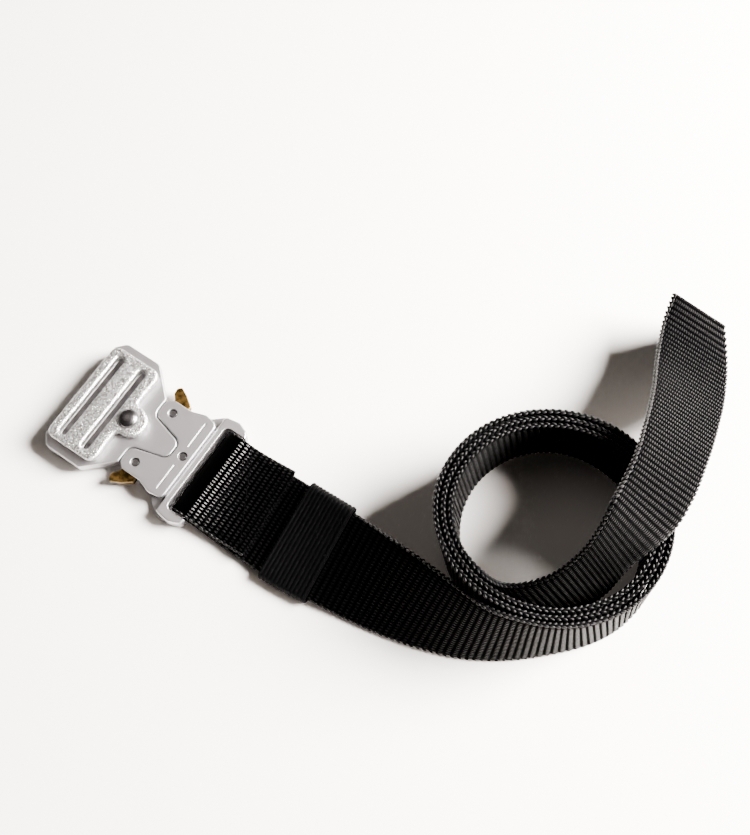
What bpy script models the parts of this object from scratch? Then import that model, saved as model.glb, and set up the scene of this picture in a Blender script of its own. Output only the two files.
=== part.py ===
"""Quick-release belt: cast metal buckle, woven strap with a folded end, a keeper and a loose coil.

Units are metres and +Z is up. The belt lies on the plane z = 0. The origin is on that plane, under the
rivet in the middle of the buckle body. +X runs along the buckle towards the strap, and +Y runs across it.
"""

import bmesh
import bpy
import numpy as np
from math import cos, pi, radians, sin, tan

MM = 0.001

# Outlines: share of a side that a corner's arc may take, welding distance in metres, flatness in degrees
CORNER_SHARE = 0.49
WELD_DISTANCE = 1e-6
FLAT_ANGLE = 1.0

# Webbing strap, in millimetres
STRAP_WIDTH = 38.0
STRAP_THICKNESS = 2.0
SECTION_STEP = 4.0
TURN_STEP = 0.9
TURN_SPAN = (24.0, 42.0)
PATH_STEP = 0.5

# The coil is a flat spiral of standing webbing. Its top edge is shifted from its foot and squeezed.
COIL_FOOT_CENTRE = (132.6, 52.3)
COIL_TOP_CENTRE = (128.5, 47.0)
COIL_RADIUS = 41.2
COIL_FOOT_SPREAD = 0.6
COIL_PITCH = 2.65
COIL_BULGE = 4.3
COIL_BULGE_ANGLE = 45.0
COIL_DENT_ANGLE = -80.0
COIL_START_ANGLE = -90.0
COIL_FIRST = -35.0
COIL_LAST = 985.0
COIL_TURN_STEP = 12.0
COIL_FOOT_HEIGHT = 0.6

# Buckle body, in millimetres
CLEAR = 0.3
BACK_TOP = 2.2
LEVER_LOW, LEVER_TOP = 2.5, 5.3
CORE_TOP = 5.3
FRONT_LOW, FRONT_TOP = 5.6, 7.6
REAR_LOW, FRAME_TOP = 0.4, 6.2
REAR_BEVEL = 0.7
CORE_LOW_CORNER = (-3.9, -15.5, 1.0)
CORE_HIGH_CORNER = (5.0, 15.5, CORE_TOP)
SLOT_FRONT, SLOT_BACK = 6.2, 20.0
SLOT_HALF = 19.5
SLOT_CORNER = 2.2
BAR_CENTRE = (12.2, 4.0)
BAR_SIZE = (3.6, 2.4)
BAR_BEVEL = 0.9
BAR_ROOT = 1.5
PLATE_BEVEL = 0.45
GROOVE_X = (-0.75, -0.15)
GROOVE_Y = (4.4, 15.6)
GROOVE_DEPTH = 0.35
TONGUE_LOW, TONGUE_TOP = 2.5, 7.2
HEAD_FOOT_LOW, HEAD_FOOT_TOP = 1.2, 3.5
ADJUSTER_LOW, ADJUSTER_TOP = 7.5, 10.6
ADJUSTER_SLOTS = (-43.3, -32.7)
ADJUSTER_SLOT_SIZE = (3.4, 38.0)
ADJUSTER_SLOT_CORNER = 1.6
ADJUSTER_BEVEL, ADJUSTER_BEVEL_ANGLE = 1.1, 50.0
RIVET_RADIUS = 1.55
RIVET_TOP = 7.2
RIVET_BEVEL = 0.25
EAR_RIVET_LOW, CENTRE_RIVET_LOW = 0.2, 1.3
LEVER_BEVEL = 0.35
EAR_PIVOT = (-13.7, 11.9)
DOME_PLACE = (-25.6, 0.0)
DOME_RADIUS, DOME_RISE, DOME_SHANK = 4.0, 2.0, 2.0
DOME_FOOT = 1.5
DOME_RINGS, DOME_SIDES = 8, 28
DOME_WELD = 0.00001
CUT_LOW, CUT_HIGH = -1.0, 14.0

# Keeper band
KEEPER_START, KEEPER_END = 49.6, 69.8
KEEPER_WALL = 1.3
KEEPER_SIDE_CLEAR = 0.9
KEEPER_FACE_CLEAR = 0.5
KEEPER_PATH_STEP = 1.0
KEEPER_RING_EVERY = 3
KEEPER_FAR_SIDE, KEEPER_CEILING = 5.0, 20.0

# Half outlines seen from above, with a corner radius for each corner: x, y, radius
TONGUE_HALF = [
    (-4.6, 3.6, 3.2), (-19.5, 7.6, 3.2), (-19.5, 15.2, 0.8), (-30.6, 25.5, 2.5),
    (-46.4, 25.5, 2.5), (-50.0, 21.6, 1.5),
]
FRONT_HALF = [
    (-4.2, 3.95, 3.5), (-19.1, 8.0, 2.8), (-19.1, 16.8, 4.0), (-8.5, 16.6, 6.0),
    (-2.5, 18.6, 3.0), (3.4, 17.6, 2.6),
]
BODY_HALF = [
    (-19.1, 16.8, 4.0), (-8.5, 16.6, 6.0), (-2.5, 18.6, 3.0), (3.2, 23.4, 3.5),
    (10.0, 23.6, 4.0), (14.6, 21.6, 2.5), (16.3, 16.5, 0.6),
]
REAR_HALF = [
    (3.75, 22.6, 1.2), (10.0, 23.6, 4.0), (14.6, 21.6, 2.5), (16.3, 16.5, 0.6),
]
HEAD_FOOT_HALF = [
    (-22.6, 15.6, 1.0), (-31.0, 24.4, 2.0), (-46.0, 24.4, 2.0), (-48.9, 21.2, 1.5),
]
ADJUSTER_HALF = [
    (-18.2, 3.6, 4.2), (-22.6, 6.2, 3.0), (-26.6, 6.4, 2.0), (-26.6, 13.8, 2.0), (-25.9, 21.9, 4.5),
    (-48.9, 21.9, 3.2),
]
LEVER_OUTLINE = [
    (-19.5, 21.6, 0.9), (-18.2, 23.2, 0.9), (-14.4, 21.3, 3.0), (-10.2, 18.4, 0.8), (-10.3, 9.0, 2.0),
    (-16.6, 9.0, 2.0), (-17.2, 17.2, 2.0), (-19.2, 19.4, 1.0),
]

# Folded end above the main run, from its cut end to the bar: x, height, fall of the low edge
FOLD_ROWS = [
    (41.0, 7.6, 6.3),
    (33.0, 5.6, 4.2),
    (26.0, 4.6, 1.6),
    (19.5, 5.0, 0.0),
    (14.5, 6.7, 0.0),
    (11.6, 6.75, 0.0),
]
# How far the fold's high edge lies back for each millimetre of fall
FOLD_SKEW = 0.15
# Angles of the turn round the bar in degrees: first, end and step
BAR_TURN = (120.0, 271.0, 30.0)

# Main run from the bar to the coil: x, y and z of the strap's low edge, then of its high edge
LEAD_ROWS = [
    (17.0, -19.0, 1.3, 17.0, 19.0, 1.3),
    (26.0, -19.1, 1.3, 25.5, 18.3, 2.8),
    (38.0, -19.1, 1.7, 37.3, 16.9, 7.0),
    (51.5, -18.9, 3.3, 50.0, 15.9, 12.3),
    (69.0, -17.9, 3.3, 67.6, 15.3, 18.5),
    (84.0, -16.1, 1.8, 83.0, 14.5, 23.2),
    (99.7, -13.2, 1.3, 101.0, 12.9, 27.4),
    (115.0, -9.2, 1.1, 115.5, 10.8, 32.2),
    (129.5, -3.6, 0.9, 128.0, 9.6, 35.9),
    (142.5, 4.4, 0.7, 139.0, 12.0, 37.1),
    (153.5, 13.9, 0.6, 149.0, 16.0, 37.6),
]
# Free end: it leaves the inside of the coil, climbs over its side and leans down to the floor
TAIL_ROWS = [
    (147.0, 23.8, 1.6, 131.0, 20.9, 35.4),
    (155.4, 31.8, 7.5, 139.3, 27.9, 41.5),
    (160.2, 41.2, 19.5, 144.3, 37.0, 53.5),
    (161.2, 49.4, 34.3, 145.6, 45.2, 66.0),
    (164.2, 57.9, 43.4, 145.0, 52.8, 71.8),
    (167.4, 68.2, 42.2, 143.8, 61.4, 69.8),
    (168.0, 79.4, 40.0, 142.7, 71.0, 67.2),
    (166.5, 96.7, 33.5, 139.8, 87.2, 58.8),
    (164.0, 116.0, 22.5, 136.0, 106.2, 45.6),
    (159.9, 138.7, 9.0, 129.3, 129.1, 29.8),
    (154.5, 153.3, 3.0, 125.6, 143.0, 25.0),
    (146.0, 167.2, 1.6, 123.8, 153.8, 28.0),
]

FINISHES = {
    "cast_metal": ((0.56, 0.56, 0.57), 0.42, 1.0),
    "plate_metal": ((0.50, 0.50, 0.51), 0.38, 1.0),
    "lever_brass": ((0.50, 0.33, 0.10), 0.35, 1.0),
    "rivet_metal": ((0.22, 0.21, 0.22), 0.35, 1.0),
    "webbing": ((0.012, 0.012, 0.013), 0.75, 0.0),
    "keeper_webbing": ((0.016, 0.016, 0.017), 0.70, 0.0),
}


def clear_scene():
    for thing in list(bpy.data.objects):
        bpy.data.objects.remove(thing, do_unlink=True)


def make_collection(name):
    collection = bpy.data.collections.new(name)
    bpy.context.scene.collection.children.link(collection)
    return collection


def make_material(name):
    colour, roughness, metallic = FINISHES[name]
    material = bpy.data.materials.new(name)
    material.use_nodes = True
    shader = material.node_tree.nodes["Principled BSDF"]
    shader.inputs["Base Color"].default_value = (*colour, 1.0)
    shader.inputs["Roughness"].default_value = roughness
    shader.inputs["Metallic"].default_value = metallic
    return material


def mirrored(half):
    """A closed outline from a half above the X axis: the half, then its mirror image in reverse."""
    return half + [(x, -y, r) for x, y, r in reversed(half)]


def rounded(corners, arc_steps=5):
    """Points of a closed outline whose corners are replaced by arcs of their own radius."""
    points = []
    count = len(corners)
    for i, (x, y, radius) in enumerate(corners):
        here = np.array((x, y))
        before = np.array(corners[i - 1][:2]) - here
        after = np.array(corners[(i + 1) % count][:2]) - here
        len_before, len_after = np.linalg.norm(before), np.linalg.norm(after)
        before, after = before / len_before, after / len_after
        half_angle = np.arccos(np.clip(before @ after, -1.0, 1.0)) / 2
        reach = min(radius / tan(half_angle), CORNER_SHARE * len_before, CORNER_SHARE * len_after)
        true_radius = reach * tan(half_angle)
        middle = before + after
        middle /= np.linalg.norm(middle)
        centre = here + middle * true_radius / sin(half_angle)
        start, end = here + before * reach - centre, here + after * reach - centre
        first = np.arctan2(start[1], start[0])
        turn = (np.arctan2(end[1], end[0]) - first + pi) % (2 * pi) - pi
        for k in range(arc_steps + 1):
            angle = first + turn * k / arc_steps
            points.append(centre + true_radius * np.array((cos(angle), sin(angle))))
    return points


def link(name, mesh, collection, material=None, origin=(0.0, 0.0, 0.0)):
    thing = bpy.data.objects.new(name, mesh)
    collection.objects.link(thing)
    thing.location = [value * MM for value in origin]
    if material is not None:
        mesh.materials.clear()
        mesh.materials.append(material)
    return thing


def plate(name, outline, low, high, collection, material=None, origin=(0.0, 0.0, 0.0)):
    """A flat plate: a filled 2D curve, thick from low to high, made a mesh with welded caps."""
    curve = bpy.data.curves.new(name, "CURVE")
    curve.dimensions = "2D"
    curve.fill_mode = "BOTH"
    curve.extrude = (high - low) / 2 * MM
    spline = curve.splines.new("POLY")
    spline.points.add(len(outline) - 1)
    for point, (x, y) in zip(spline.points, outline):
        point.co = ((x - origin[0]) * MM, (y - origin[1]) * MM, 0.0, 1.0)
    spline.use_cyclic_u = True
    guide = bpy.data.objects.new(name + "_curve", curve)
    collection.objects.link(guide)
    bpy.context.view_layer.update()
    mesh = bpy.data.meshes.new_from_object(guide.evaluated_get(bpy.context.evaluated_depsgraph_get()))
    bpy.data.objects.remove(guide, do_unlink=True)
    shape = bmesh.new()
    shape.from_mesh(mesh)
    bmesh.ops.remove_doubles(shape, verts=shape.verts, dist=WELD_DISTANCE)
    bmesh.ops.dissolve_limit(shape, angle_limit=radians(FLAT_ANGLE), verts=shape.verts, edges=shape.edges)
    bmesh.ops.recalc_face_normals(shape, faces=shape.faces)
    bmesh.ops.translate(shape, verts=shape.verts, vec=(0.0, 0.0, ((low + high) / 2 - origin[2]) * MM))
    shape.to_mesh(mesh)
    shape.free()
    mesh.name = name
    return link(name, mesh, collection, material, origin)


def block(name, low, high, collection):
    """A box between two corners."""
    shape = bmesh.new()
    bmesh.ops.create_cube(shape, size=1.0)
    size = (np.array(high) - np.array(low)) * MM
    bmesh.ops.scale(shape, verts=shape.verts, vec=size)
    bmesh.ops.translate(shape, verts=shape.verts, vec=(np.array(high) + np.array(low)) / 2 * MM)
    mesh = bpy.data.meshes.new(name)
    shape.to_mesh(mesh)
    shape.free()
    return link(name, mesh, collection)


def drum(name, place, radius, low, high, collection, material=None, sides=24):
    """An upright cylinder."""
    shape = bmesh.new()
    bmesh.ops.create_cone(
        shape, cap_ends=True, segments=sides, radius1=radius * MM, radius2=radius * MM,
        depth=(high - low) * MM,
    )
    bmesh.ops.translate(shape, verts=shape.verts, vec=(place[0] * MM, place[1] * MM, (low + high) / 2 * MM))
    mesh = bpy.data.meshes.new(name)
    shape.to_mesh(mesh)
    shape.free()
    return link(name, mesh, collection, material)


def add_bevel(thing, width, segments=2, angle=40.0):
    bevel = thing.modifiers.new("rounded_edges", "BEVEL")
    bevel.width = width * MM
    bevel.segments = segments
    bevel.limit_method = "ANGLE"
    bevel.angle_limit = radians(angle)


def combine(thing, other, operation):
    """A Boolean with another object, which becomes a hidden guide."""
    boolean = thing.modifiers.new(operation.lower() + "_" + other.name, "BOOLEAN")
    boolean.operation = operation
    boolean.solver = "EXACT"
    boolean.object = other
    other.hide_render = True
    other.display_type = "WIRE"


def shade(thing, angle=35.0):
    thing.data.shade_smooth()
    thing.data.set_sharp_from_angle(angle=radians(angle))


def buckle_body(parts, guides, finish):
    """Back plate, raised core, side arms and the bar that the webbing goes round, cast as one."""
    body = plate("buckle_body", rounded(mirrored(BODY_HALF)), 0.0, BACK_TOP, parts, finish)
    rear = plate("rear_block", rounded(mirrored(REAR_HALF)), REAR_LOW, FRAME_TOP, guides)
    core = block("core_block", CORE_LOW_CORNER, CORE_HIGH_CORNER, guides)
    slot_corners = [(SLOT_FRONT, SLOT_HALF, SLOT_CORNER), (SLOT_BACK, SLOT_HALF, SLOT_CORNER)]
    slot = plate("strap_slot", rounded(mirrored(slot_corners)), CUT_LOW, CUT_HIGH, guides)
    bar_half = SLOT_HALF + BAR_ROOT
    bar_low = (BAR_CENTRE[0] - BAR_SIZE[0] / 2, -bar_half, BAR_CENTRE[1] - BAR_SIZE[1] / 2)
    bar_high = (BAR_CENTRE[0] + BAR_SIZE[0] / 2, bar_half, BAR_CENTRE[1] + BAR_SIZE[1] / 2)
    bar = block("strap_bar", bar_low, bar_high, guides)
    add_bevel(bar, BAR_BEVEL, 3)
    add_bevel(rear, REAR_BEVEL, 3)
    combine(body, rear, "UNION")
    combine(body, core, "UNION")
    combine(body, slot, "DIFFERENCE")
    combine(body, bar, "UNION")
    for i, (place, foot) in enumerate(rivet_places()):
        bottom = foot - CLEAR if foot > EAR_RIVET_LOW else CUT_LOW
        hole = drum("body_hole_%d" % i, place, RIVET_RADIUS + CLEAR, bottom, CUT_HIGH, guides)
        combine(body, hole, "DIFFERENCE")
    shade(body)


def rivet_places():
    """Place and lowest height of the two ear rivets, then of the centre rivet in its blind hole."""
    mirrored_ear = (EAR_PIVOT[0], -EAR_PIVOT[1])
    return [(EAR_PIVOT, EAR_RIVET_LOW), (mirrored_ear, EAR_RIVET_LOW), ((0.0, 0.0), CENTRE_RIVET_LOW)]


def front_plate(parts, guides, finish):
    """Front cover with the wavy mouth that the tongue fills, and two pressed grooves."""
    cover = plate("front_plate", rounded(mirrored(FRONT_HALF), 6), FRONT_LOW, FRONT_TOP, parts, finish)
    add_bevel(cover, PLATE_BEVEL)
    for i, (place, _) in enumerate(rivet_places()):
        hole = drum("cover_hole_%d" % i, place, RIVET_RADIUS + CLEAR, CUT_LOW, CUT_HIGH, guides)
        combine(cover, hole, "DIFFERENCE")
    for i, side in enumerate((1, -1)):
        ends = sorted((side * GROOVE_Y[0], side * GROOVE_Y[1]))
        low, high = (GROOVE_X[0], ends[0], FRONT_TOP - GROOVE_DEPTH), (GROOVE_X[1], ends[1], CUT_HIGH)
        groove = block("groove_%d" % i, low, high, guides)
        combine(cover, groove, "DIFFERENCE")
    shade(cover)


def tongue_plate(parts, guides, finish):
    """The fastened half: a wide head and a tongue that fills the mouth of the front cover."""
    tongue = plate("tongue_plate", rounded(mirrored(TONGUE_HALF), 6), TONGUE_LOW, TONGUE_TOP, parts, finish)
    add_bevel(tongue, PLATE_BEVEL)
    foot = plate("head_foot", rounded(mirrored(HEAD_FOOT_HALF)), HEAD_FOOT_LOW, HEAD_FOOT_TOP, guides)
    combine(tongue, foot, "UNION")
    cut_adjuster_slots(tongue, guides, "tongue")
    hole = drum("tongue_hole", DOME_PLACE, DOME_SHANK + CLEAR, CUT_LOW, CUT_HIGH, guides)
    combine(tongue, hole, "DIFFERENCE")
    shade(tongue)


def cut_adjuster_slots(thing, guides, label):
    width, length = ADJUSTER_SLOT_SIZE
    corner = ADJUSTER_SLOT_CORNER
    for i, x in enumerate(ADJUSTER_SLOTS):
        corners = [
            (x - width / 2, -length / 2, corner), (x + width / 2, -length / 2, corner),
            (x + width / 2, length / 2, corner), (x - width / 2, length / 2, corner),
        ]
        slot = plate("%s_slot_%d" % (label, i), rounded(corners, 3), CUT_LOW, CUT_HIGH, guides)
        combine(thing, slot, "DIFFERENCE")


def adjuster_frame(parts, guides, finish):
    """Rough cast frame with two strap slots, riveted on the head of the tongue plate."""
    outline = rounded(mirrored(ADJUSTER_HALF), 5)
    frame = plate("adjuster_frame", outline, ADJUSTER_LOW, ADJUSTER_TOP, parts, finish)
    cut_adjuster_slots(frame, guides, "frame")
    hole = drum("frame_hole", DOME_PLACE, DOME_SHANK + CLEAR, CUT_LOW, CUT_HIGH, guides)
    combine(frame, hole, "DIFFERENCE")
    add_bevel(frame, ADJUSTER_BEVEL, angle=ADJUSTER_BEVEL_ANGLE)
    shade(frame)


def dome_rivet(parts, finish):
    """Domed head on a shank: a profile from the top of the dome down to the shank's foot, turned."""
    head_low = ADJUSTER_TOP + CLEAR
    profile = [
        (DOME_RADIUS * sin(a), head_low + DOME_RISE * cos(a)) for a in np.linspace(0.0, pi / 2, DOME_RINGS)
    ]
    profile += [(DOME_SHANK, head_low), (DOME_SHANK, DOME_FOOT), (0.0, DOME_FOOT)]
    mesh = bpy.data.meshes.new("dome_rivet")
    points = [(radius * MM, 0.0, height * MM) for radius, height in profile]
    mesh.from_pydata(points, [(i, i + 1) for i in range(len(points) - 1)], [])
    rivet = link("dome_rivet", mesh, parts, finish, (*DOME_PLACE, 0.0))
    screw = rivet.modifiers.new("turn", "SCREW")
    screw.steps = DOME_SIDES
    screw.render_steps = DOME_SIDES
    screw.use_merge_vertices = True
    screw.merge_threshold = DOME_WELD
    shade(rivet)


def small_rivets(parts, finish):
    names = ("ear_rivet_a", "ear_rivet_b", "centre_rivet")
    for name, (place, foot) in zip(names, rivet_places()):
        rivet = drum(name, place, RIVET_RADIUS, foot, RIVET_TOP, parts, finish)
        add_bevel(rivet, RIVET_BEVEL)
        shade(rivet)


def release_lever(name, side, parts, guides, finish):
    """Brass lever on its ear rivet. Its object's origin is on the rivet's axis."""
    pivot = (EAR_PIVOT[0], side * EAR_PIVOT[1], 0.0)
    corners = [(x, side * y, r) for x, y, r in LEVER_OUTLINE]
    lever = plate(name, rounded(corners, 4), LEVER_LOW, LEVER_TOP, parts, finish, pivot)
    add_bevel(lever, LEVER_BEVEL)
    hole = drum(name + "_bore", pivot, RIVET_RADIUS + CLEAR, CUT_LOW, CUT_HIGH, guides)
    combine(lever, hole, "DIFFERENCE")
    shade(lever)


def fold_sections():
    """Edges of the folded end, then of the turn round the bar, from top to bottom."""
    half = STRAP_WIDTH / 2
    rows = [
        (x, -half, z - fall / 2, x - fall * FOLD_SKEW, half, z + fall / 2) for x, z, fall in FOLD_ROWS
    ]
    top = FOLD_ROWS[-1][1]
    bottom = LEAD_ROWS[0][2]
    radius = (top - bottom) / 2
    for angle in np.radians(np.arange(*BAR_TURN)):
        x = FOLD_ROWS[-1][0] + radius * cos(angle)
        z = bottom + radius + radius * sin(angle)
        rows.append((x, -half, z, x, half, z))
    return rows


def coil_sections():
    """Edges of the coil: a spiral for the foot, and a squeezed one on another centre for the top."""
    rows = []
    for angle in np.arange(COIL_FIRST, COIL_LAST, COIL_TURN_STEP):
        a = radians(angle)
        radius = COIL_RADIUS - COIL_PITCH * (angle - COIL_START_ANGLE) / 360.0
        bulge = COIL_BULGE * max(0.0, cos(a - radians(COIL_BULGE_ANGLE))) ** 2
        dent = COIL_BULGE * max(0.0, cos(a - radians(COIL_DENT_ANGLE))) ** 2
        around = np.array((cos(a), sin(a)))
        foot = np.array(COIL_FOOT_CENTRE) + (radius + COIL_FOOT_SPREAD) * around
        top = np.array(COIL_TOP_CENTRE) + (radius + bulge - dent) * around
        rise = np.sqrt(STRAP_WIDTH ** 2 - np.sum((top - foot) ** 2))
        rows.append((*foot, COIL_FOOT_HEIGHT, *top, COIL_FOOT_HEIGHT + rise))
    return rows


def smooth_through(places, values, wanted):
    """Cubic curve through rows of values at uneven places, with slopes averaged from both sides."""
    gap = np.diff(places)
    slope = np.diff(values, axis=0) / gap[:, None]
    tangent = np.empty_like(values)
    mean = slope[:-1] * gap[1:, None] + slope[1:] * gap[:-1, None]
    tangent[1:-1] = mean / (gap[:-1] + gap[1:])[:, None]
    tangent[0] = slope[0]
    tangent[-1] = slope[-1]
    i = np.clip(np.searchsorted(places, wanted, side="right") - 1, 0, len(gap) - 1)
    h = gap[i][:, None]
    u = ((wanted - places[i]) / gap[i])[:, None]
    return (
        (2 * u ** 3 - 3 * u ** 2 + 1) * values[i] + (u ** 3 - 2 * u ** 2 + u) * h * tangent[i]
        + (3 * u ** 2 - 2 * u ** 3) * values[i + 1] + (u ** 3 - u ** 2) * h * tangent[i + 1]
    )


def strap_path(step):
    """Centre line of the whole strap and the direction across it, in finer steps round the bar."""
    rows = np.array([*fold_sections(), *LEAD_ROWS, *coil_sections(), *TAIL_ROWS], float)
    low, high = rows[:, :3], rows[:, 3:]
    centre = (low + high) / 2
    across = (high - low) / np.linalg.norm(high - low, axis=1)[:, None]
    places = np.concatenate([[0.0], np.cumsum(np.linalg.norm(np.diff(centre, axis=0), axis=1))])
    fine = np.arange(0.0, places[-1], PATH_STEP)
    centre = smooth_through(places, centre, fine)
    across = smooth_through(places, across, fine)
    along = np.concatenate([[0.0], np.cumsum(np.linalg.norm(np.diff(centre, axis=0), axis=1))])
    fine_step = min(step, TURN_STEP)
    even = np.concatenate([
        np.arange(0.0, TURN_SPAN[0], step), np.arange(*TURN_SPAN, fine_step),
        np.linspace(TURN_SPAN[1], along[-1], int((along[-1] - TURN_SPAN[1]) / step) + 1),
    ])
    centre = np.stack([np.interp(even, along, centre[:, k]) for k in range(3)], axis=1)
    across = np.stack([np.interp(even, along, across[:, k]) for k in range(3)], axis=1)
    return centre, across / np.linalg.norm(across, axis=1)[:, None]


def webbing_strap(parts, finish):
    """One length of webbing: a ruled ribbon along the strap's path, thickened by Solidify."""
    centre, across = strap_path(SECTION_STEP)
    spread = np.linspace(-STRAP_WIDTH / 2, STRAP_WIDTH / 2, 3)
    points = (centre[:, None] + spread[None, :, None] * across[:, None]).reshape(-1, 3) * MM
    columns = len(spread)
    start = (np.arange(len(centre) - 1)[:, None] * columns + np.arange(columns - 1)[None, :]).ravel()
    faces = np.stack([start, start + 1, start + columns + 1, start + columns], axis=1)
    mesh = bpy.data.meshes.new("webbing_strap")
    mesh.from_pydata(points.tolist(), [], faces.tolist())
    strap = link("webbing_strap", mesh, parts, finish)
    wall = strap.modifiers.new("wall", "SOLIDIFY")
    wall.thickness = STRAP_THICKNESS * MM
    wall.offset = 0.0
    wall.use_even_offset = True
    shade(strap)


def keeper_band(parts, finish):
    """Flat tube of webbing round the strap: a rounded slot section carried along the strap's run."""
    centre, across = strap_path(KEEPER_PATH_STEP)
    place = centre[:, 0]
    keep = (place > KEEPER_START) & (place < KEEPER_END)
    keep &= (centre[:, 1] < KEEPER_FAR_SIDE) & (centre[:, 2] < KEEPER_CEILING)
    centre, across = centre[keep][::KEEPER_RING_EVERY], across[keep][::KEEPER_RING_EVERY]
    along = np.gradient(centre, axis=0)
    up = np.cross(along, across)
    up /= np.linalg.norm(up, axis=1)[:, None]
    half_width = STRAP_WIDTH / 2 + KEEPER_SIDE_CLEAR
    half_height = STRAP_THICKNESS / 2 + KEEPER_FACE_CLEAR
    inner = band_loop(half_width, half_height)
    outer = band_loop(half_width + KEEPER_WALL, half_height + KEEPER_WALL)
    rings = []
    for loop in (inner, outer):
        ring = centre[:, None] + loop[None, :, :1] * across[:, None] + loop[None, :, 1:] * up[:, None]
        rings.append(ring)
    surface = np.concatenate([rings[0], rings[1][::-1]])
    rows, columns = surface.shape[:2]
    row, column = np.meshgrid(np.arange(rows), np.arange(columns), indexing="ij")
    after_row, after_column = (row + 1) % rows, (column + 1) % columns
    faces = np.stack([
        row * columns + column, row * columns + after_column,
        after_row * columns + after_column, after_row * columns + column,
    ], axis=-1).reshape(-1, 4)
    mesh = bpy.data.meshes.new("keeper_band")
    mesh.from_pydata((surface.reshape(-1, 3) * MM).tolist(), [], faces.tolist())
    shape = bmesh.new()
    shape.from_mesh(mesh)
    bmesh.ops.recalc_face_normals(shape, faces=shape.faces)
    shape.to_mesh(mesh)
    shape.free()
    shade(link("keeper_band", mesh, parts, finish))


def band_loop(half_width, half_height, end_steps=4):
    """A flat loop with half-round ends: across and height of each point."""
    radius = half_height
    flat = half_width - radius
    points = []
    for side in (1, -1):
        for k in range(end_steps + 1):
            angle = -side * pi / 2 + pi * k / end_steps
            points.append((side * flat + radius * cos(angle), radius * sin(angle)))
    return np.array(points)


def main():
    clear_scene()
    parts = make_collection("tactical_belt")
    guides = make_collection("guides")
    finish = {name: make_material(name) for name in FINISHES}
    buckle_body(parts, guides, finish["plate_metal"])
    front_plate(parts, guides, finish["plate_metal"])
    tongue_plate(parts, guides, finish["plate_metal"])
    adjuster_frame(parts, guides, finish["cast_metal"])
    dome_rivet(parts, finish["rivet_metal"])
    small_rivets(parts, finish["rivet_metal"])
    release_lever("release_lever_a", 1, parts, guides, finish["lever_brass"])
    release_lever("release_lever_b", -1, parts, guides, finish["lever_brass"])
    webbing_strap(parts, finish["webbing"])
    keeper_band(parts, finish["keeper_webbing"])


main()
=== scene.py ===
"""Looks of the tactical belt: black ribbed webbing in a loose coil, and a cast quick-release buckle.

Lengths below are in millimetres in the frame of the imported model, and become metres in add_mesh. The belt
lies on z = 0, +X runs along the buckle towards the strap, and +Z is up.
"""

from math import cos, pi, radians, sin

import bpy
import numpy as np
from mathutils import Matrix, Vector


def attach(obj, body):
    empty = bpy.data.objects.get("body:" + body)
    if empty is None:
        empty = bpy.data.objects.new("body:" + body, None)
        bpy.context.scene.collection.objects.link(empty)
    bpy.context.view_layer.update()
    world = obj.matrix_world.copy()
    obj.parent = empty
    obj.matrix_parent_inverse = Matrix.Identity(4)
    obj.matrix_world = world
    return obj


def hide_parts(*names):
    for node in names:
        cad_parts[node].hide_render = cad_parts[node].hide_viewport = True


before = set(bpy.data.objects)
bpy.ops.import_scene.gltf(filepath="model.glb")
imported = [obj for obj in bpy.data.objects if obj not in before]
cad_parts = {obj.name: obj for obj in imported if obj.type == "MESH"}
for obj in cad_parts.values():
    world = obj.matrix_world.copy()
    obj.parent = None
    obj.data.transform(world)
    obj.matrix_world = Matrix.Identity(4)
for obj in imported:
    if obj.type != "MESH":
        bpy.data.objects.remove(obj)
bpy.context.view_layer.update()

MM = 0.001

# Camera and light of the photo. CAMERA_NEAR, the nearest distance it draws, is in metres.
CAMERA_PLACE = (137.8, -73.5, 429.6)
CAMERA_TARGET = (50.8, 56.4, 0.0)
CAMERA_LENS = 50.01
CAMERA_SENSOR = 36.0
CAMERA_NEAR = 0.01
KEY_PLACE = (570.0, 520.0, 515.0)
WINDOW_PLACE = (1140.0, 240.0, 510.0)
SKY_PLACE = (-430.0, 190.0, 1115.0)
BELT_MIDDLE = (70.0, 50.0, 0.0)
FLOOR_RADIUS = 750.0
FLOOR_SIDES = 128
WORLD_LIGHT = 0.045
WORLD_SEEN = 2.6

# Strap: its size, its path's steps and the places of its two edges, as in the part
STRAP_WIDTH = 38.0
STRAP_THICKNESS = 2.0
PATH_STEP = 0.5
COIL_FOOT_CENTRE = (132.6, 52.3)
COIL_TOP_CENTRE = (128.5, 47.0)
COIL_RADIUS = 41.2
COIL_FOOT_SPREAD = 0.6
COIL_PITCH = 2.65
COIL_BULGE = 4.3
COIL_BULGE_ANGLE = 45.0
COIL_DENT_ANGLE = -80.0
COIL_START_ANGLE = -90.0
COIL_FIRST = -35.0
COIL_LAST = 985.0
COIL_TURN_STEP = 12.0
COIL_FOOT_HEIGHT = 0.6
# Folded end above the main run, from its cut end to the bar: x, height, fall of the low edge
FOLD_ROWS = [
    (41.0, 7.6, 6.3),
    (33.0, 5.6, 4.2),
    (26.0, 4.6, 1.6),
    (19.5, 5.0, 0.0),
    (14.5, 6.7, 0.0),
    (11.6, 6.75, 0.0),
]
# How far the fold's high edge lies back for each millimetre of fall
FOLD_SKEW = 0.15
# Angles of the turn round the bar in degrees: first, end and step
BAR_TURN = (120.0, 271.0, 30.0)
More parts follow.
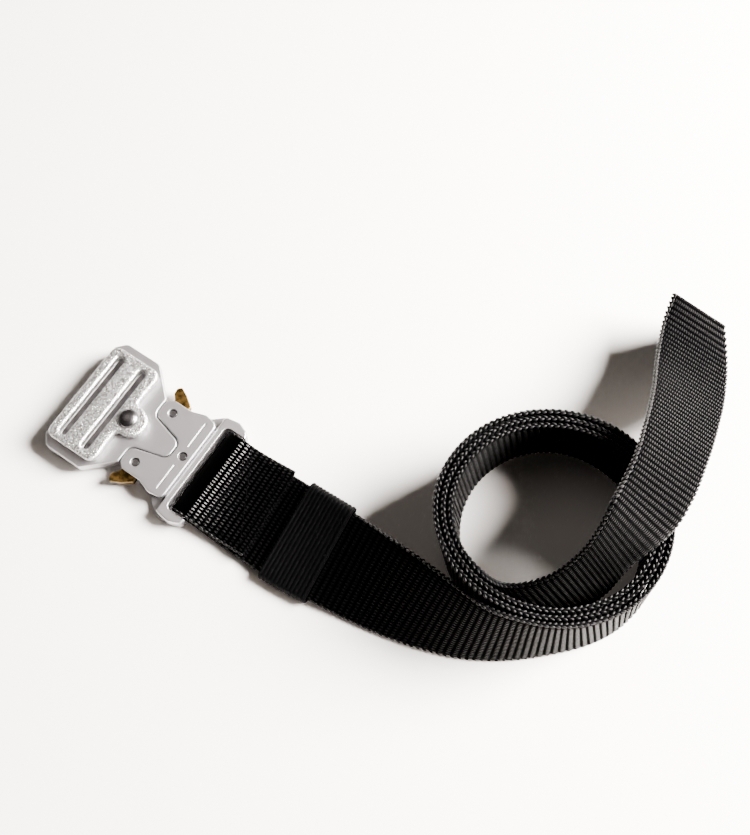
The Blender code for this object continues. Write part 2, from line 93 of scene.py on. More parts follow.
# Main run from the bar to the coil: x, y and z of the strap's low edge, then of its high edge
LEAD_ROWS = [
    (17.0, -19.0, 1.3, 17.0, 19.0, 1.3),
    (26.0, -19.1, 1.3, 25.5, 18.3, 2.8),
    (38.0, -19.1, 1.7, 37.3, 16.9, 7.0),
    (51.5, -18.9, 3.3, 50.0, 15.9, 12.3),
    (69.0, -17.9, 3.3, 67.6, 15.3, 18.5),
    (84.0, -16.1, 1.8, 83.0, 14.5, 23.2),
    (99.7, -13.2, 1.3, 101.0, 12.9, 27.4),
    (115.0, -9.2, 1.1, 115.5, 10.8, 32.2),
    (129.5, -3.6, 0.9, 128.0, 9.6, 35.9),
    (142.5, 4.4, 0.7, 139.0, 12.0, 37.1),
    (153.5, 13.9, 0.6, 149.0, 16.0, 37.6),
]
# Free end: it leaves the inside of the coil, climbs over its side and leans down to the floor
TAIL_ROWS = [
    (147.0, 23.8, 1.6, 131.0, 20.9, 35.4),
    (155.4, 31.8, 7.5, 139.3, 27.9, 41.5),
    (160.2, 41.2, 19.5, 144.3, 37.0, 53.5),
    (161.2, 49.4, 34.3, 145.6, 45.2, 66.0),
    (164.2, 57.9, 43.4, 145.0, 52.8, 71.8),
    (167.4, 68.2, 42.2, 143.8, 61.4, 69.8),
    (168.0, 79.4, 40.0, 142.7, 71.0, 67.2),
    (166.5, 96.7, 33.5, 139.8, 87.2, 58.8),
    (164.0, 116.0, 22.5, 136.0, 106.2, 45.6),
    (159.9, 138.7, 9.0, 129.3, 129.1, 29.8),
    (154.5, 153.3, 3.0, 125.6, 143.0, 25.0),
    (146.0, 167.2, 1.6, 123.8, 153.8, 28.0),
]

# Weave of the strap: ribs across both faces, each drawn with a few rows of points
RIB_PITCH = 2.45
RIB_ROWS = 6
RIB_HEIGHT = 0.6
BEAD_PITCH = 1.3
FACE_HALF = 17.6
FACE_COLUMNS = 12
# Rim between the two faces: how far out it stands, and its height as a share of the furrows' height
RIM_REACH = (0.8, 1.1, 0.8)
RIM_SHARE = (0.6, 0.0, -0.6)
# Beads plaited along both edges
EDGE_PITCH = 2.3
EDGE_ACROSS = 18.3
EDGE_LIFT = 0.46
EDGE_BEAD = (1.02, 0.46, 0.5)
EDGE_SLANT = 20.0
EDGE_MARGIN = 0.6

# Where the strap turns round the bar, as length from its cut end: there it is drawn smooth
TURN_MIDDLE = 34.5
TURN_REACH = 6.0
TURN_FADE = 1.2
# The fold's shine grows from the cut end to the bar, then falls to that of plain webbing beyond it
RUBBED_START, RUBBED_FULL = 10.0, 22.0
RUBBED_AT_CUT = 0.8
RUBBED_SHINE, PLAIN_SHINE = 0.36, 0.018
PLAIN_FROM = 3 * TURN_MIDDLE

# Painted highlights along metal edges: cosine of the normal's turn where the highlight starts and where it
# is full
EDGE_HIGHLIGHT_START, EDGE_HIGHLIGHT_FULL = 0.995, 0.9

# Keeper band, drawn closer to the strap than the plain one of the part
KEEPER_START, KEEPER_END = 49.6, 69.8
KEEPER_SIDE_CLEAR = 0.4
KEEPER_FACE_CLEAR = 0.3
KEEPER_WALL = 1.1
KEEPER_RIB_PITCH = 1.7
KEEPER_RIB_HEIGHT = 0.3
KEEPER_HEM = 1.2
KEEPER_HEM_RISE = 0.12
KEEPER_HEM_FADE = 0.3
KEEPER_STEP = 0.16
KEEPER_FAR_SIDE, KEEPER_CEILING = 5.0, 20.0

# Sewing of the folded end: distances along the strap from its cut end, and half the box's width
SEAM_NEAR, SEAM_FAR = 2.6, 19.5
SEAM_HALF = 15.5
STITCH_PITCH = 2.3
STITCH_BEAD = (1.0, 0.22, 0.2)
STITCH_LIFT = 0.02

# Loose yarns along the cut of the folded end: range of their places, mean and spread of their headings
FRAY_SEED = 7
FRAY_COUNT = 130
FRAY_BEAD = (0.55, 0.06, 0.06)
FRAY_UP = (-0.7, 1.0)
FRAY_OUT = (-0.1, 0.5)
FRAY_ASIDE = (0.0, 0.9)
FRAY_RISE = (0.1, 0.4)
# Melted roll along the cut of the free end
TIP_PITCH = 0.7
TIP_BEAD = (0.6, 0.45, 0.95)
TIP_INSET = 0.15


def colour(code):
    """The linear red, green, blue and alpha of an sRGB hex code."""
    parts = [int(code[i:i + 2], 16) / 255 for i in (1, 3, 5)]
    return [c / 12.92 if c < 0.04045 else ((c + 0.055) / 1.055) ** 2.4 for c in parts] + [1.0]


def unit(rows):
    return rows / np.linalg.norm(rows, axis=-1, keepdims=True)


# The strap's path

def fold_sections():
    """Edges of the folded end, then of the turn round the bar, from top to bottom."""
    half = STRAP_WIDTH / 2
    rows = [
        (x, -half, z - fall / 2, x - fall * FOLD_SKEW, half, z + fall / 2) for x, z, fall in FOLD_ROWS
    ]
    top = FOLD_ROWS[-1][1]
    bottom = LEAD_ROWS[0][2]
    radius = (top - bottom) / 2
    for angle in np.radians(np.arange(*BAR_TURN)):
        x = FOLD_ROWS[-1][0] + radius * cos(angle)
        z = bottom + radius + radius * sin(angle)
        rows.append((x, -half, z, x, half, z))
    return rows


def coil_sections():
    """Edges of the coil: a spiral for the foot, and a squeezed one on another centre for the top."""
    rows = []
    for angle in np.arange(COIL_FIRST, COIL_LAST, COIL_TURN_STEP):
        a = radians(angle)
        radius = COIL_RADIUS - COIL_PITCH * (angle - COIL_START_ANGLE) / 360.0
        bulge = COIL_BULGE * max(0.0, cos(a - radians(COIL_BULGE_ANGLE))) ** 2
        dent = COIL_BULGE * max(0.0, cos(a - radians(COIL_DENT_ANGLE))) ** 2
        around = np.array((cos(a), sin(a)))
        foot = np.array(COIL_FOOT_CENTRE) + (radius + COIL_FOOT_SPREAD) * around
        top = np.array(COIL_TOP_CENTRE) + (radius + bulge - dent) * around
        rise = np.sqrt(STRAP_WIDTH ** 2 - np.sum((top - foot) ** 2))
        rows.append((*foot, COIL_FOOT_HEIGHT, *top, COIL_FOOT_HEIGHT + rise))
    return rows


def smooth_through(places, values, wanted):
    """Cubic curve through rows of values at uneven places, with slopes averaged from both sides."""
    gap = np.diff(places)
    slope = np.diff(values, axis=0) / gap[:, None]
    tangent = np.empty_like(values)
    mean = slope[:-1] * gap[1:, None] + slope[1:] * gap[:-1, None]
    tangent[1:-1] = mean / (gap[:-1] + gap[1:])[:, None]
    tangent[0] = slope[0]
    tangent[-1] = slope[-1]
    i = np.clip(np.searchsorted(places, wanted, side="right") - 1, 0, len(gap) - 1)
    h = gap[i][:, None]
    u = ((wanted - places[i]) / gap[i])[:, None]
    return (
        (2 * u ** 3 - 3 * u ** 2 + 1) * values[i] + (u ** 3 - 2 * u ** 2 + u) * h * tangent[i]
        + (3 * u ** 2 - 2 * u ** 3) * values[i + 1] + (u ** 3 - u ** 2) * h * tangent[i + 1]
    )


def length_along(points):
    """Distance from the first point to each point along a line of points."""
    return np.concatenate([[0.0], np.cumsum(np.linalg.norm(np.diff(points, axis=0), axis=1))])


def path_table():
    """Fine table of the strap's path: length along it, centre and direction across."""
    rows = np.array([*fold_sections(), *LEAD_ROWS, *coil_sections(), *TAIL_ROWS], float)
    low, high = rows[:, :3], rows[:, 3:]
    centre = (low + high) / 2
    across = unit(high - low)
    places = length_along(centre)
    fine = np.arange(0.0, places[-1], PATH_STEP)
    centre = smooth_through(places, centre, fine)
    across = unit(smooth_through(places, across, fine))
    return length_along(centre), centre, across


PATH_LENGTH, PATH_CENTRE, PATH_ACROSS = path_table()
STRAP_LENGTH = PATH_LENGTH[-1]


def strap_frame(along):
    """Centre, direction along, direction across and face normal of the strap at these lengths."""
    def at(where, table):
        return np.stack([np.interp(where, PATH_LENGTH, table[:, k]) for k in range(3)], axis=1)

    near, far = np.clip(along - PATH_STEP, 0, STRAP_LENGTH), np.clip(along + PATH_STEP, 0, STRAP_LENGTH)
    centre = at(along, PATH_CENTRE)
    across = unit(at(along, PATH_ACROSS))
    ahead = unit(at(far, PATH_CENTRE) - at(near, PATH_CENTRE))
    normal = unit(np.cross(ahead, across))
    return centre, ahead, across, normal


# Meshes from arrays

def add_mesh(name, points, faces, material, uv=None):
    """A smooth mesh that rides on the belt, from an array of points in millimetres and one of faces."""
    mesh = bpy.data.meshes.new(name)
    mesh.vertices.add(len(points))
    mesh.vertices.foreach_set("co", (np.asarray(points) * MM).astype(np.float32).ravel())
    faces = np.asarray(faces, np.int32)
    count, sides = faces.shape
    mesh.loops.add(count * sides)
    mesh.loops.foreach_set("vertex_index", faces.ravel())
    mesh.polygons.add(count)
    mesh.polygons.foreach_set("loop_start", np.arange(0, count * sides, sides, dtype=np.int32))
    mesh.polygons.foreach_set("use_smooth", np.full(count, True))
    mesh.update(calc_edges=True)
    mesh.validate()
    if uv is not None:
        layer = mesh.uv_layers.new(name="cloth")
        layer.data.foreach_set("uv", np.asarray(uv)[faces.ravel()].astype(np.float32).ravel())
    mesh.materials.append(material)
    thing = bpy.data.objects.new(name, mesh)
    bpy.context.scene.collection.objects.link(thing)
    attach(thing, "belt")
    return thing


def tube_faces(rows, columns, closed_rows=False):
    """Quads of a tube: rows of rings, each ring closed. The rows close too if asked."""
    last = rows if closed_rows else rows - 1
    row, column = np.meshgrid(np.arange(last), np.arange(columns), indexing="ij")
    after_row, after_column = (row + 1) % rows, (column + 1) % columns
    return np.stack([
        row * columns + column, row * columns + after_column,
        after_row * columns + after_column, after_row * columns + column,
    ], axis=-1).reshape(-1, 4)


def bead_template(rings=5, around=8):
    """Points and triangles of a unit ball drawn as rings between two poles on its long axis."""
    polar = np.linspace(0, pi, rings + 2)[1:-1]
    turn = np.linspace(0, 2 * pi, around, endpoint=False)
    ring = np.stack([
        np.broadcast_to(np.cos(polar)[:, None], (rings, around)),
        np.sin(polar)[:, None] * np.cos(turn), np.sin(polar)[:, None] * np.sin(turn),
    ], axis=-1).reshape(-1, 3)
    points = np.concatenate([ring, [[1, 0, 0], [-1, 0, 0]]])
    k = np.arange(around)
    after = (k + 1) % around
    top, bottom = rings * around, rings * around + 1
    foot = (rings - 1) * around
    caps = [
        np.stack([np.full_like(k, top), k, after], 1),
        np.stack([np.full_like(k, bottom), foot + after, foot + k], 1),
    ]
    walls = []
    for r in range(rings - 1):
        a, b, c, d = r * around + k, r * around + after, (r + 1) * around + after, (r + 1) * around + k
        walls += [np.stack([a, d, c], 1), np.stack([a, c, b], 1)]
    return points, np.concatenate(caps + walls)


def add_beads(name, centres, long_axis, side_axis, sizes, material, rings=5, around=8):
    """Many small ellipsoids as one mesh: each bead has a centre, a long axis and a side axis."""
    points, faces = bead_template(rings, around)
    third = np.cross(long_axis, side_axis)
    local = points[None] * np.asarray(sizes)
    placed = (
        centres[:, None] + local[..., :1] * long_axis[:, None] + local[..., 1:2] * side_axis[:, None]
        + local[..., 2:] * third[:, None]
    )
    offset = np.arange(len(centres))[:, None, None] * len(points)
    return add_mesh(name, placed.reshape(-1, 3), (faces[None] + offset).reshape(-1, 3), material)


# Materials

class Shader:
    """A Principled material and a short way to add nodes to it."""

    def __init__(self, name):
        self.material = bpy.data.materials.new(name)
        self.material.use_nodes = True
        self.tree = self.material.node_tree
        self.main = self.tree.nodes["Principled BSDF"]

    def add(self, kind, inputs=(), **settings):
        """A node of this kind with these settings; inputs are (socket, value or linked output)."""
        node = self.tree.nodes.new(kind)
        for key, value in settings.items():
            setattr(node, key, value)
        for socket, value in inputs:
            self.feed(node.inputs[socket], value)
        return node

    def feed(self, socket, value):
        """Links an output to the socket, or sets the socket to a value."""
        if isinstance(value, bpy.types.NodeSocket):
            self.tree.links.new(value, socket)
        else:
            socket.default_value = value

    def math(self, operation, a, b=0.0):
        return self.add("ShaderNodeMath", [(0, a), (1, b)], operation=operation).outputs[0]

    def noise(self, scale, detail=2.0, roughness=0.5, stretch=None):
        """Noise on object coordinates, scale in cells a metre, optionally stretched."""
        vector = self.add("ShaderNodeTexCoord").outputs["Object"]
        if stretch is not None:
            vector = self.add("ShaderNodeMapping", [("Vector", vector), ("Scale", stretch)]).outputs[0]
        inputs = [("Vector", vector), ("Scale", scale), ("Detail", detail), ("Roughness", roughness)]
        return self.add("ShaderNodeTexNoise", inputs).outputs["Fac"]

    def cells(self, scale):
        """A random value from 0 to 1 in each small cell, scale in cells a metre."""
        place = self.add("ShaderNodeTexCoord").outputs["Object"]
        tint = self.add("ShaderNodeTexVoronoi", [("Vector", place), ("Scale", scale)]).outputs["Color"]
        return self.add("ShaderNodeSeparateColor", [("Color", tint)]).outputs["Red"]

    def ramp(self, factor, low, high, low_value, high_value):
        """low_value where the factor is low, high_value where it is high, and straight in between."""
        inputs = [
            ("Value", factor), ("From Min", low), ("From Max", high),
            ("To Min", low_value), ("To Max", high_value),
        ]
        return self.add("ShaderNodeMapRange", inputs).outputs[0]

    def mix(self, factor, a, b):
        node = self.add("ShaderNodeMix", data_type="RGBA")
        self.feed(node.inputs["Factor"], factor)
        self.feed(node.inputs[6], a)
        self.feed(node.inputs[7], b)
        return node.outputs[2]

    def bump(self, height, depth, normal=None):
        """The normal of a surface raised by a height from 0 to 1 times a depth in metres."""
        inputs = [("Height", height), ("Distance", depth), ("Strength", 1.0)]
        if normal is not None:
            inputs.append(("Normal", normal))
        return self.add("ShaderNodeBump", inputs).outputs[0]

    def soft_edges(self, radius):
        """The normal with the edges rounded over this radius in metres."""
        return self.add("ShaderNodeBevel", [("Radius", radius)], samples=6).outputs[0]

    def painted_edge_highlight(self, edge):
        """1 along the edges and 0 on the flats: how far the rounded normal turns from the plain one. It
        masks the highlights painted along metal edges.
        """
        plain = self.add("ShaderNodeNewGeometry").outputs["Normal"]
        turn = self.add("ShaderNodeVectorMath", [(0, edge), (1, plain)], operation="DOT_PRODUCT")
        return self.ramp(turn.outputs["Value"], EDGE_HIGHLIGHT_START, EDGE_HIGHLIGHT_FULL, 0.0, 1.0)

    def set(self, **values):
        """Feeds the Principled inputs of these names, with _ for each space, and returns the material."""
        for key, value in values.items():
            self.feed(self.main.inputs[key.replace("_", " ")], value)
        return self.material


def woven_nylon():
    """Black nylon webbing, woven warp over a thick weft, so each cross rib is a row of small beads.

    The beads catch the light as grey points, and the furrows between them stay black; the base colour is
    also painted darker in the furrows and lighter on the bead tops, as painted shade. The folded end is
    handled most. It is rubbed shiny, and its beads are the brightest. The weave's height is the absolute
    sine of pi times the place across over the bead pitch, times the absolute cosine of pi times the
    length over the rib pitch, both to the power 0.8. Every second rib's beads stand half a pitch aside.
    """
    s = Shader("woven_nylon")
    place = s.add("ShaderNodeUVMap", uv_map="cloth").outputs[0]
    split = s.add("ShaderNodeSeparateXYZ", [(0, place)])
    along, sideways = split.outputs[0], split.outputs[1]
    rib = s.math("DIVIDE", along, RIB_PITCH)
    shift = s.math("MULTIPLY", s.math("MODULO", s.math("FLOOR", s.math("ADD", rib, 0.5)), 2.0), 0.5)
    wobble = s.math("MULTIPLY", s.math("SUBTRACT", s.noise(900.0), 0.5), 0.22)
    bead = s.math("ADD", s.math("ADD", s.math("DIVIDE", sideways, BEAD_PITCH), shift), wobble)
    round_bead = s.math("ABSOLUTE", s.math("SINE", s.math("MULTIPLY", bead, pi)))
    furrow = s.math("ABSOLUTE", s.math("COSINE", s.math("MULTIPLY", rib, pi)))
    weave = s.math("MULTIPLY", s.math("POWER", round_bead, 0.8), s.math("POWER", furrow, 0.8))
    from_turn = s.math("ABSOLUTE", s.math("SUBTRACT", along, TURN_MIDDLE))
    drawn = s.ramp(from_turn, TURN_REACH, TURN_REACH + TURN_FADE, 0.0, 1.0)
    height = s.math("MULTIPLY", weave, drawn)
    near_bar = s.ramp(along, RUBBED_START, RUBBED_FULL, RUBBED_AT_CUT, 1.0)
    off_fold = s.ramp(along, TURN_MIDDLE, PLAIN_FROM, RUBBED_SHINE, PLAIN_SHINE)
    rubbed = s.math("MULTIPLY", near_bar, off_fold)
    fibre = s.noise(9000.0, 3.0, 0.6)
    grain = s.math("ADD", height, s.math("MULTIPLY", fibre, 0.22))
    return s.set(
        # Base colour painted darker in the furrows and lighter on the bead tops: painted shade between the
        # ribs.
        Base_Color=s.mix(s.ramp(height, 0.35, 0.95, 0.0, 1.0), colour("#000000"), colour("#030304")),
        Roughness=s.ramp(fibre, 0.3, 0.7, 0.22, 0.34),
        Sheen_Weight=0.012,
        Sheen_Roughness=0.4,
        Specular_IOR_Level=s.math("MULTIPLY", s.ramp(height, 0.55, 0.95, 0.0, 1.0), rubbed),
        Normal=s.bump(grain, 0.00032),
    )


def plaited_nylon():
    """Black nylon yarn plaited along the selvedge: tighter and glossier than the face."""
    s = Shader("plaited_nylon")
    fibre = s.noise(9000.0, 3.0, 0.6)
    return s.set(
        Base_Color=s.mix(fibre, colour("#020202"), colour("#0b0b0c")),
        Roughness=0.3,
        Specular_IOR_Level=0.12,
        Normal=s.bump(fibre, 0.00006),
    )


def bonded_thread():
    """Bonded nylon thread, duller than the webbing, so that its stitches show as small dark dashes."""
    s = Shader("bonded_thread")
    twist = s.noise(6000.0, 2.0, 0.5)
    return s.set(
        Base_Color=s.mix(twist, colour("#010101"), colour("#020203")),
        Roughness=0.5,
        Specular_IOR_Level=0.01,
        Normal=s.bump(twist, 0.00005),
    )


def ribbed_elastic():
    """Black covered elastic, flatter and duller than the webbing, with fine ribs across the strap."""
    s = Shader("ribbed_elastic")
    fibre = s.noise(7000.0, 3.0, 0.6)
    return s.set(
        Base_Color=s.mix(fibre, colour("#010101"), colour("#070708")),
        Roughness=0.34,
        Specular_IOR_Level=0.018,
        Normal=s.bump(fibre, 0.00014),
    )


def frayed_end():
    """Cut ends of the black yarn, melted and scuffed grey by the hot knife."""
    s = Shader("frayed_end")
    return s.set(Base_Color=colour("#060607"), Roughness=0.6, Specular_IOR_Level=0.03)


def blasted_aluminium():
    """Aluminium plate, bead blasted and anodised: even satin grey, painted nearly white along its edges as
    a highlight.
    """
    s = Shader("blasted_aluminium")
    edge = s.soft_edges(0.00035)
    grain = s.noise(9000.0, 2.0, 0.5)
    cloud = s.noise(120.0, 2.0, 0.5)
    satin = s.mix(cloud, colour("#adacaf"), colour("#bab9bc"))
    return s.set(
        # Base colour painted white along the edges: painted highlight.
        Base_Color=s.mix(s.painted_edge_highlight(edge), satin, colour("#ffffff")),
        Metallic=1.0,
        Roughness=s.ramp(grain, 0.3, 0.7, 0.34, 0.46),
        Normal=s.bump(grain, 0.00002, edge),
    )


def tumbled_casting():
    """Cast aluminium, tumbled rough: bright grains beside dull ones, half a millimetre across, their colour
    partly own tone and partly painted glints, with painted highlights along the edges.
    """
    s = Shader("tumbled_casting")
    edge = s.soft_edges(0.0009)
    grain = s.noise(2600.0, 3.0, 0.6)
    crystal = s.cells(1900.0)
    # Base colour speckled grey to white grain by grain: partly the grains' own tone, partly painted glints.
    grain_tone_and_painted_glints = s.mix(s.ramp(crystal, 0.0, 0.6, 0.0, 1.0), colour("#6a696b"), colour("#ffffff"))
    return s.set(
        # Base colour also painted white along the edges: painted highlight.
        Base_Color=s.mix(s.painted_edge_highlight(edge), grain_tone_and_painted_glints, colour("#ffffff")),
        Metallic=1.0,
        Roughness=s.ramp(crystal, 0.0, 1.0, 0.36, 0.24),
        Normal=s.bump(grain, 0.00022, edge),
    )


def turned_steel():
    """Plain steel rivet heads, turned smooth: dark where they face away and bright on one side."""
    s = Shader("turned_steel")
    edge = s.soft_edges(0.0002)
    return s.set(
        Base_Color=colour("#757375"),
        Metallic=1.0,
        Roughness=0.26,
        Normal=s.bump(s.noise(4000.0), 0.00001, edge),
    )


def satin_brass():
    """Stamped brass, brushed lengthways and tarnished in patches: dark gold, painted pale along its edges
    as a highlight.
    """
    s = Shader("satin_brass")
    edge = s.soft_edges(0.0003)
    brushed = s.noise(400.0, 3.0, 0.6, (2.0, 14.0, 14.0))
    tarnish = s.ramp(s.noise(420.0, 3.0, 0.6), 0.4, 0.6, 0.0, 1.0)
    patchy = s.mix(tarnish, colour("#3a2c12"), colour("#7a6034"))
    return s.set(
        # Base colour painted pale gold along the edges: painted highlight; the tarnish patches are the
        # brass's own colour.
        Base_Color=s.mix(s.painted_edge_highlight(edge), patchy, colour("#d9bd84")),
        Metallic=1.0,
        Roughness=s.ramp(brushed, 0.3, 0.7, 0.28, 0.42),
        Normal=s.bump(brushed, 0.00004, edge),
    )


# Webbing

def rib_heights(along):
    """Height of the ribs at these lengths, for the front face and for the back face.

    At length s it is the rib height times the square root of the absolute cosine of pi s over the rib
    pitch, which gives round ribs with narrow furrows. The back takes the sine, half a pitch on. Where the
    strap turns round the bar, both stay at full height.
    """
    drawn = np.clip((np.abs(along - TURN_MIDDLE) - TURN_REACH) / TURN_FADE, 0.0, 1.0)
    ribs = [np.sqrt(np.abs(wave(pi * along / RIB_PITCH))) for wave in (np.cos, np.sin)]
    return [(1 - drawn * (1 - rib)) * RIB_HEIGHT for rib in ribs]


def strap(material):
    """The strap's body: a flat ring carried along the path, ribbed on its faces and plain on its rims."""
    rows = int(round(STRAP_LENGTH / RIB_PITCH)) * RIB_ROWS
    along = np.linspace(0.0, STRAP_LENGTH, rows + 1)
    centre, _, across, normal = strap_frame(along)
    face = np.linspace(-FACE_HALF, FACE_HALF, FACE_COLUMNS)
    rim = FACE_HALF + np.array(RIM_REACH)
    sideways = np.concatenate([face, rim, face[::-1], -rim])
    furrow_height = STRAP_THICKNESS / 2 - RIB_HEIGHT
    front, back = [
        np.repeat((furrow_height + height)[:, None], FACE_COLUMNS, axis=1) for height in rib_heights(along)
    ]
    rims = np.broadcast_to(furrow_height * np.array(RIM_SHARE), (rows + 1, len(rim)))
    lift = np.concatenate([front, rims, -back, -rims], axis=1)
    points = (
        centre[:, None] + sideways[None, :, None] * across[:, None] + lift[..., None] * normal[:, None]
    )
    columns = len(sideways)
    on_front = np.arange(columns) < FACE_COLUMNS + len(rim) - 1
    shift = np.where(on_front, 0.0, RIB_PITCH / 2)
    uv = np.stack([
        along[:, None] + shift[None],
        np.broadcast_to(sideways[None], (rows + 1, columns)),
    ], axis=-1).reshape(-1, 2)
    return add_mesh("strap_weave", points.reshape(-1, 3), tube_faces(rows + 1, columns), material, uv)


def selvedges(material):
    """Plaited edges: on each, two rows of slanted beads that lean opposite ways, half a pitch apart."""
    made = []
    for label, side in (("low", -1), ("high", 1)):
        centres, longs, sides = [], [], []
        for lift in (1, -1):
            start = EDGE_MARGIN + (lift > 0) * EDGE_PITCH / 2
            along = np.arange(start, STRAP_LENGTH - EDGE_MARGIN, EDGE_PITCH)
            centre, ahead, across, normal = strap_frame(along)
            slant = radians(EDGE_SLANT)
            centres.append(centre + side * EDGE_ACROSS * across + lift * EDGE_LIFT * normal)
            longs.append(cos(slant) * ahead + lift * sin(slant) * normal)
            sides.append(across)
        made.append(add_beads(
            "selvedge_" + label, np.concatenate(centres), np.concatenate(longs), np.concatenate(sides),
            EDGE_BEAD, material,
        ))
    return made


def seam(material):
    """Box of stitches with a cross in it, on the top face of the folded end."""
    a, b = (SEAM_NEAR, -SEAM_HALF), (SEAM_NEAR, SEAM_HALF)
    c, d = (SEAM_FAR, SEAM_HALF), (SEAM_FAR, -SEAM_HALF)
    runs = [(a, b), (b, c), (c, d), (d, a), (a, c), (b, d)]
    places, headings = [], []
    for start, end in runs:
        start, end = np.array(start), np.array(end)
        length = np.linalg.norm(end - start)
        count = int(length / STITCH_PITCH)
        steps = (np.arange(count) + 0.5) / count
        places.append(start + steps[:, None] * (end - start))
        headings.append(np.broadcast_to((end - start) / length, (len(steps), 2)))
    places, headings = np.concatenate(places), np.concatenate(headings)
    centre, ahead, across, normal = strap_frame(places[:, 0])
    heading = headings[:, :1] * ahead + headings[:, 1:] * across
    top = fold_side(normal)[:, None] * normal
    centres = centre + places[:, 1:] * across + (STRAP_THICKNESS / 2 + STITCH_LIFT) * top
    return add_beads("seam_stitches", centres, heading, np.cross(top, heading), STITCH_BEAD, material)


def fold_side(normal):
    """+1 or -1 for each section: the sign that makes its face normal point up."""
    return np.where(normal[:, 2] >= 0, 1.0, -1.0)


def frayed_yarns(material):
    """Short loose yarn ends along the cut of the folded end, in random directions from a fixed seed."""
    rng = np.random.default_rng(FRAY_SEED)
    single = (FRAY_COUNT, 1)
    centre, ahead, across, normal = strap_frame(np.zeros(FRAY_COUNT))
    top = fold_side(normal)[:, None] * normal
    centres = centre + rng.uniform(-FACE_HALF, FACE_HALF, single) * across
    centres += rng.uniform(*FRAY_UP, single) * top - rng.uniform(*FRAY_OUT, single) * ahead
    heading = -ahead + rng.normal(*FRAY_ASIDE, single) * across + rng.normal(*FRAY_RISE, single) * top
    heading = unit(heading)
    side = unit(np.cross(heading, top))
    return add_beads("frayed_yarns", centres, heading, side, FRAY_BEAD, material, rings=4, around=5)


def sealed_tip(material):
    """Melted roll along the cut of the free end: a row of overlapping small beads across the strap."""
    sideways = np.arange(-EDGE_ACROSS, EDGE_ACROSS + TIP_PITCH, TIP_PITCH)
    centre, ahead, across, _ = strap_frame(np.full(len(sideways), STRAP_LENGTH))
    centres = centre + sideways[:, None] * across - TIP_INSET * ahead
    return add_beads("sealed_tip", centres, across, ahead, TIP_BEAD, material)


def keeper(material):
    """Elastic band round the strap: a flat loop carried along the strap, ribbed on the outside.

    At length s the outer skin stands out by the rib height times the absolute sine of pi s over the rib
    pitch. In the hem at each end it stands out a little more, rising as a square root from the end.
    """
    x, y, z = PATH_CENTRE.T
    inside = (x > KEEPER_START) & (x < KEEPER_END) & (y < KEEPER_FAR_SIDE) & (z < KEEPER_CEILING)
    span = PATH_LENGTH[inside]
    along = np.arange(span[0], span[-1], KEEPER_STEP)
    centre, _, across, normal = strap_frame(along)
    half_width = STRAP_WIDTH / 2 + KEEPER_SIDE_CLEAR
    half_height = STRAP_THICKNESS / 2 + KEEPER_FACE_CLEAR
    inner = flat_loop(half_width, half_height)
    outer = flat_loop(half_width + KEEPER_WALL, half_height + KEEPER_WALL)
    away = unit(outer - inner)
    from_end = np.minimum(along - along[0], along[-1] - along)
    rib = KEEPER_RIB_HEIGHT * np.abs(np.sin(pi * along / KEEPER_RIB_PITCH))
    fade = np.sqrt(np.clip(from_end / KEEPER_HEM_FADE, 0.0, 1.0))
    hem = np.where(from_end < KEEPER_HEM, KEEPER_HEM_RISE, 0.0) * fade
    skin = rib + hem - KEEPER_RIB_HEIGHT
    loops = []
    for loop, raised in ((inner, 0 * skin), (outer, skin)):
        flat = loop[None] + raised[:, None, None] * away[None]
        loops.append(centre[:, None] + flat[..., :1] * across[:, None] + flat[..., 1:] * normal[:, None])
    surface = np.concatenate([loops[0], loops[1][::-1]])
    rows, columns = surface.shape[:2]
    return add_mesh("keeper_weave", surface.reshape(-1, 3), tube_faces(rows, columns, True), material)


def flat_loop(half_width, half_height, end_steps=10, face_steps=24):
    """A closed flat loop with half-round ends: across and height of each point."""
    radius = half_height
    flat = half_width - radius
    points = []
    for side in (1, -1):
        for angle in np.linspace(-side * pi / 2, -side * pi / 2 + pi, end_steps + 1):
            points.append((side * flat + radius * cos(angle), radius * sin(angle)))
        for place in np.linspace(side * flat, -side * flat, face_steps + 2)[1:-1]:
            points.append((place, side * radius))
    return np.array(points)


# Stage

def floor():
    """Plain pale round table top, which fills the photo's view."""
    s = Shader("pale_floor")
    s.set(Base_Color=colour("#f1efed"), Roughness=0.9, Specular_IOR_Level=0.2)
    turn = np.linspace(0, 2 * pi, FLOOR_SIDES, endpoint=False)
    rim = np.stack([np.cos(turn), np.sin(turn), 0 * turn], axis=-1) * FLOOR_RADIUS + BELT_MIDDLE
    mesh = bpy.data.meshes.new("floor")
    mesh.from_pydata((rim * MM).tolist(), [], [range(FLOOR_SIDES)])
    mesh.materials.append(s.material)
    thing = bpy.data.objects.new("floor", mesh)
    bpy.context.scene.collection.objects.link(thing)


def aim(thing, target):
    """Turns an object so that its -Z axis looks at the target."""
    towards = Vector(target) * MM - thing.location
    thing.rotation_euler = towards.to_track_quat("-Z", "Y").to_euler()


def add_light(name, place, size, power, tint):
    """A round lamp that shines on the belt, its size in metres and its power in watts."""
    data = bpy.data.lights.new(name, "AREA")
    data.shape = "DISK"
    data.size = size
    data.energy = power
    data.color = colour(tint)[:3]
    thing = bpy.data.objects.new(name, data)
    thing.location = Vector(place) * MM
    bpy.context.scene.collection.objects.link(thing)
    aim(thing, BELT_MIDDLE)


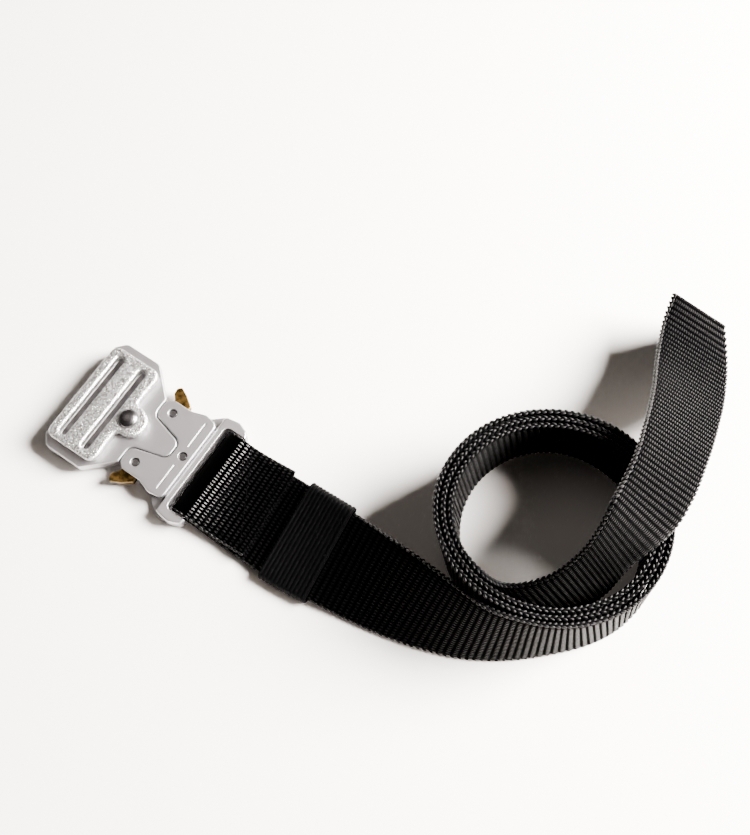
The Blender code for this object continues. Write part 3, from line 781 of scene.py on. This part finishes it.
def surroundings():
    """A little warm light in the shadows, and a pale wall where a view looks past the table."""
    world = bpy.data.worlds.new("studio")
    world.use_nodes = True
    nodes, links = world.node_tree.nodes, world.node_tree.links
    shader = nodes["Background"]
    shader.inputs["Color"].default_value = colour("#f0ddcc")
    seen = nodes.new("ShaderNodeLightPath").outputs["Is Camera Ray"]
    strength = nodes.new("ShaderNodeMath")
    strength.operation = "MULTIPLY_ADD"
    strength.inputs[1].default_value = WORLD_SEEN
    strength.inputs[2].default_value = WORLD_LIGHT
    links.new(seen, strength.inputs[0])
    links.new(strength.outputs[0], shader.inputs["Strength"])
    bpy.context.scene.world = world


def camera():
    """The camera of the photo."""
    data = bpy.data.cameras.new("camera")
    data.sensor_fit = "VERTICAL"
    data.sensor_height = CAMERA_SENSOR
    data.lens = CAMERA_LENS
    data.clip_start = CAMERA_NEAR
    thing = bpy.data.objects.new("camera", data)
    thing.location = Vector(CAMERA_PLACE) * MM
    bpy.context.scene.collection.objects.link(thing)
    aim(thing, CAMERA_TARGET)
    bpy.context.scene.camera = thing


def dress_metal():
    """Gives the CAD nodes of the buckle their finishes."""
    finishes = {
        blasted_aluminium(): ("plate_metal", ["buckle_body", "front_plate", "tongue_plate"]),
        tumbled_casting(): ("cast_metal", ["adjuster_frame"]),
        turned_steel(): ("rivet_metal", ["dome_rivet", "ear_rivet_a", "ear_rivet_b", "centre_rivet"]),
        satin_brass(): ("lever_brass", ["release_lever_a", "release_lever_b"]),
    }
    for material, (slot, names) in finishes.items():
        for name in names:
            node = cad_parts[name]
            node.data.materials.clear()
            node.data.materials.append(material)


def dress_cloth():
    """Builds the strap and the keeper in place of their plain solids."""
    yarn = plaited_nylon()
    body = strap(woven_nylon())
    trims = [*selvedges(yarn), seam(bonded_thread()), frayed_yarns(frayed_end()), sealed_tip(yarn)]
    band = keeper(ribbed_elastic())
    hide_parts("webbing_strap")
    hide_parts("keeper_band")


dress_metal()
dress_cloth()
floor()
surroundings()
add_light("key", KEY_PLACE, size=0.5, power=165.0, tint="#fff8f2")
add_light("window", WINDOW_PLACE, size=0.8, power=10.0, tint="#f8ebe0")
add_light("sky", SKY_PLACE, size=0.8, power=1.2, tint="#f6ebe2")
camera()
